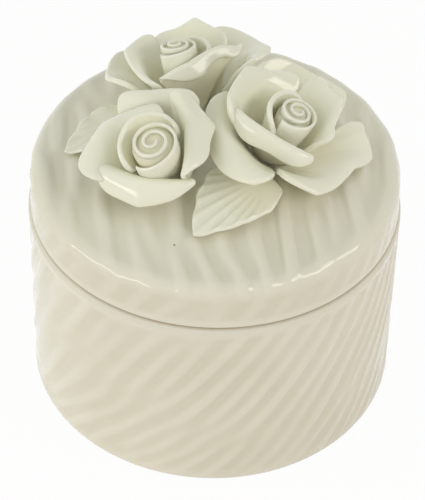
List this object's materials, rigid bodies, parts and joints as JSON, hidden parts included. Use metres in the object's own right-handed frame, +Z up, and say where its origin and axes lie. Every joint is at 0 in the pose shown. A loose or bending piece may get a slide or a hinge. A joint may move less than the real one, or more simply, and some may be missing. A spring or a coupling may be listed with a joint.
{
  "type": "trinket box",
  "caption": "Round glazed porcelain trinket box with carved slanting flutes, a lift-off domed lid and hand-formed roses and leaves on its top.",
  "frame": {"origin": "middle of the foot ring's face, where the box's axis meets the table", "axes": "+Z up along the box's axis, -Y towards the viewer of the picture, +X to the viewer's right"},
  "size_m": [0.085, 0.085, 0.0837],
  "materials": {
    "glaze": "glossy cream-white glaze over porcelain"
  },
  "bodies": {
    "base": {"base_box": "glaze"},
    "lid": {"lid_shell": "glaze", "left_heart": "glaze", "left_wrap": "glaze", "left_petal_right": "glaze", "left_petal_front": "glaze", "left_petal_left": "glaze", "left_outer_back": "glaze", "right_heart": "glaze", "right_wrap": "glaze", "right_petal_back": "glaze", "right_petal_right": "glaze", "right_petal_front": "glaze", "right_outer_front": "glaze", "right_outer_right": "glaze", "right_outer_back": "glaze", "back_heart": "glaze", "back_wrap": "glaze", "back_petal_back": "glaze", "back_petal_front": "glaze", "back_petal_left": "glaze", "back_outer_left": "glaze", "back_outer_right": "glaze", "leaf_front": "glaze", "leaf_left": "glaze"}
  },
  "joints": [
    {"name": "lid_lift", "type": "slide", "parent": "base", "child": "lid", "axis": [0, 0, 1], "range_m": [0, 0.06]}
  ]
}
